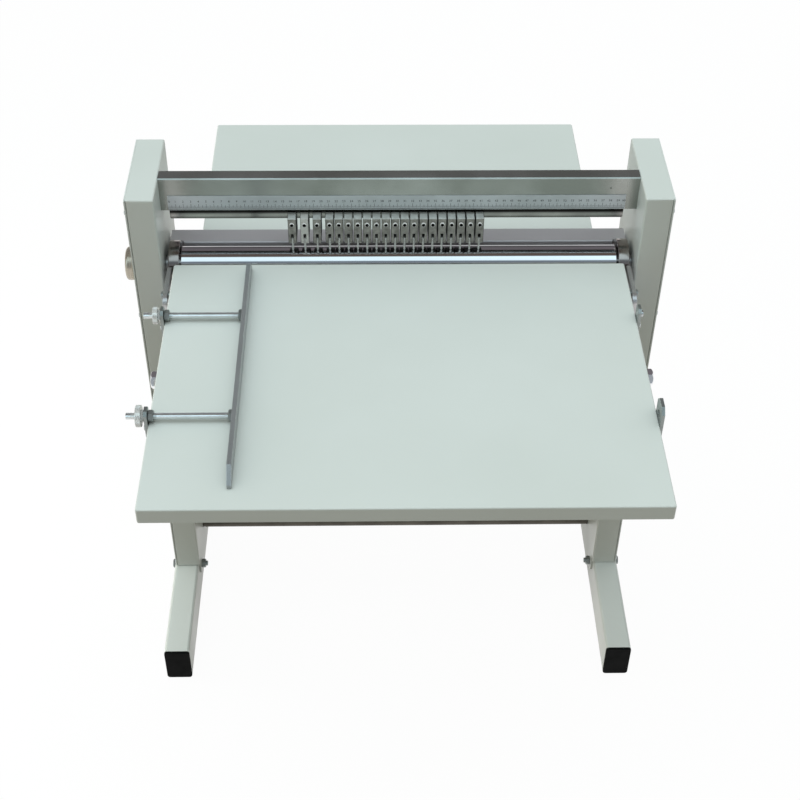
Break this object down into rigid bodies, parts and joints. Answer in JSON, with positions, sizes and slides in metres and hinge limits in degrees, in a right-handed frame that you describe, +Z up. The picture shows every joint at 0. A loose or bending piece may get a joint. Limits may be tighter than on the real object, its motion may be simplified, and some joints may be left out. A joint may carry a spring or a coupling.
{
  "type": "label cutting machine",
  "caption": "Floor-standing label cutting machine with sliding knives on a ruled beam, a polished anvil roller, two tables and a side fence",
  "frame": {"origin": "on the floor, in the middle of the bounding box", "axes": "+X to the operator's right along the roller, +Y from the operator to the back, +Z up"},
  "size_m": [0.7246, 0.8174, 0.761],
  "materials": {
    "paint": "satin pale grey paint",
    "zinc": "bright zinc plate",
    "black_cap": "matte",
    "dark_bar": "dark rolled steel",
    "beam_steel": "ground steel",
    "scale_steel": "satin",
    "rail_steel": "dull",
    "roller_chrome": "mirror polish",
    "collar_steel": "polished",
    "bearing_iron": "rough",
    "knob_nickel": "satin nickel",
    "holder_steel": "ground"
  },
  "bodies": {
    "frame": {"left_column": "paint", "right_column": "paint", "left_cover": "paint", "right_cover": "paint", "left_foot": "paint", "right_foot": "paint", "front_table": "paint", "rear_table": "paint", "left_bracket": "paint", "right_bracket": "paint", "left_stay": "paint", "right_stay": "paint", "cover_screws": "zinc", "foot_bolts": "zinc", "beam_bolts": "zinc", "rear_table_screws": "zinc", "bracket_bolts": "zinc", "stay_bolts": "zinc", "fence_tabs": "zinc", "tab_screws": "zinc", "foot_caps": "black_cap", "tie_bar": "dark_bar", "rail_screws": "dark_bar", "knife_beam": "beam_steel", "cross_member": "beam_steel", "scale_strip": "scale_steel", "knife_rail": "rail_steel", "left_bearing": "bearing_iron", "right_bearing": "bearing_iron"},
    "roller": {"anvil_roller": "roller_chrome", "left_collar": "collar_steel", "right_collar": "collar_steel", "hand_knob": "knob_nickel"},
    "fence": {"side_fence": "beam_steel", "fence_rods": "zinc", "fence_nuts": "zinc"},
    "rear_nuts": {"rear_thumb_nut": "zinc", "rear_jam_nut": "zinc"},
    "front_nuts": {"front_thumb_nut": "zinc", "front_jam_nut": "zinc"},
    "knife_01": {"knife_01": "holder_steel"},
    "knife_02": {"knife_02": "holder_steel"},
    "knife_03": {"knife_03": "holder_steel"},
    "knife_04": {"knife_04": "holder_steel"},
    "knife_05": {"knife_05": "holder_steel"},
    "knife_06": {"knife_06": "holder_steel"},
    "knife_07": {"knife_07": "holder_steel"},
    "knife_08": {"knife_08": "holder_steel"},
    "knife_09": {"knife_09": "holder_steel"},
    "knife_10": {"knife_10": "holder_steel"},
    "knife_11": {"knife_11": "holder_steel"},
    "knife_12": {"knife_12": "holder_steel"},
    "knife_13": {"knife_13": "holder_steel"},
    "knife_14": {"knife_14": "holder_steel"},
    "knife_15": {"knife_15": "holder_steel"},
    "knife_16": {"knife_16": "holder_steel"},
    "knife_17": {"knife_17": "holder_steel"},
    "knife_18": {"knife_18": "holder_steel"},
    "knife_19": {"knife_19": "holder_steel"},
    "knife_20": {"knife_20": "holder_steel"}
  },
  "joints": [
    {"name": "roller_spin", "type": "hinge", "parent": "frame", "child": "roller", "pos_m": [0.0037, 0.06675, 0.631], "axis": [1, 0, 0], "continuous": true},
    {"name": "knife_01_slide", "type": "slide", "parent": "frame", "child": "knife_01", "axis": [1, 0, 0], "range_m": [-0.14625, 0.00258]},
    {"name": "knife_02_slide", "type": "slide", "parent": "frame", "child": "knife_02", "axis": [1, 0, 0], "range_m": [-0.00258, 0.00258]},
    {"name": "knife_03_slide", "type": "slide", "parent": "frame", "child": "knife_03", "axis": [1, 0, 0], "range_m": [-0.00258, 0.00258]},
    {"name": "knife_04_slide", "type": "slide", "parent": "frame", "child": "knife_04", "axis": [1, 0, 0], "range_m": [-0.00258, 0.00055]},
    {"name": "knife_05_slide", "type": "slide", "parent": "frame", "child": "knife_05", "axis": [1, 0, 0], "range_m": [-0.00055, 0.00055]},
    {"name": "knife_06_slide", "type": "slide", "parent": "frame", "child": "knife_06", "axis": [1, 0, 0], "range_m": [-0.00055, 0.00055]},
    {"name": "knife_07_slide", "type": "slide", "parent": "frame", "child": "knife_07", "axis": [1, 0, 0], "range_m": [-0.00055, 0.00055]},
    {"name": "knife_08_slide", "type": "slide", "parent": "frame", "child": "knife_08", "axis": [1, 0, 0], "range_m": [-0.00055, 0.00055]},
    {"name": "knife_09_slide", "type": "slide", "parent": "frame", "child": "knife_09", "axis": [1, 0, 0], "range_m": [-0.00055, 0.00055]},
    {"name": "knife_10_slide", "type": "slide", "parent": "frame", "child": "knife_10", "axis": [1, 0, 0], "range_m": [-0.00055, 0.00055]},
    {"name": "knife_11_slide", "type": "slide", "parent": "frame", "child": "knife_11", "axis": [1, 0, 0], "range_m": [-0.00055, 0.00055]},
    {"name": "knife_12_slide", "type": "slide", "parent": "frame", "child": "knife_12", "axis": [1, 0, 0], "range_m": [-0.00055, 0.00055]},
    {"name": "knife_13_slide", "type": "slide", "parent": "frame", "child": "knife_13", "axis": [1, 0, 0], "range_m": [-0.00055, 0.00055]},
    {"name": "knife_14_slide", "type": "slide", "parent": "frame", "child": "knife_14", "axis": [1, 0, 0], "range_m": [-0.00055, 0.00055]},
    {"name": "knife_15_slide", "type": "slide", "parent": "frame", "child": "knife_15", "axis": [1, 0, 0], "range_m": [-0.00055, 0.00055]},
    {"name": "knife_16_slide", "type": "slide", "parent": "frame", "child": "knife_16", "axis": [1, 0, 0], "range_m": [-0.00055, 0.00055]},
    {"name": "knife_17_slide", "type": "slide", "parent": "frame", "child": "knife_17", "axis": [1, 0, 0], "range_m": [-0.00055, 0.00055]},
    {"name": "knife_18_slide", "type": "slide", "parent": "frame", "child": "knife_18", "axis": [1, 0, 0], "range_m": [-0.00055, 0.00055]},
    {"name": "knife_19_slide", "type": "slide", "parent": "frame", "child": "knife_19", "axis": [1, 0, 0], "range_m": [-0.00055, 0.00055]},
    {"name": "knife_20_slide", "type": "slide", "parent": "frame", "child": "knife_20", "axis": [1, 0, 0], "range_m": [-0.00055, 0.182]},
    {"name": "rear_nuts_turn", "type": "hinge", "parent": "frame", "child": "rear_nuts", "pos_m": [-0.2983, -0.08195, 0.6615], "axis": [1, 0, 0], "range_deg": [-2881, 22321]},
    {"name": "front_nuts_turn", "type": "hinge", "parent": "frame", "child": "front_nuts", "pos_m": [-0.2983, -0.26625, 0.6615], "axis": [1, 0, 0], "range_deg": [-2881, 22321]},
    {"name": "fence_slide", "type": "slide", "parent": "frame", "child": "fence", "axis": [1, 0, 0], "range_m": [-0.0775, 0.01]}
  ],
  "couplings": [
    {"joint": "rear_nuts_turn", "follows": "fence_slide", "rad_per_m": -5026.5},
    {"joint": "front_nuts_turn", "follows": "fence_slide", "rad_per_m": -5026.5}
  ]
}
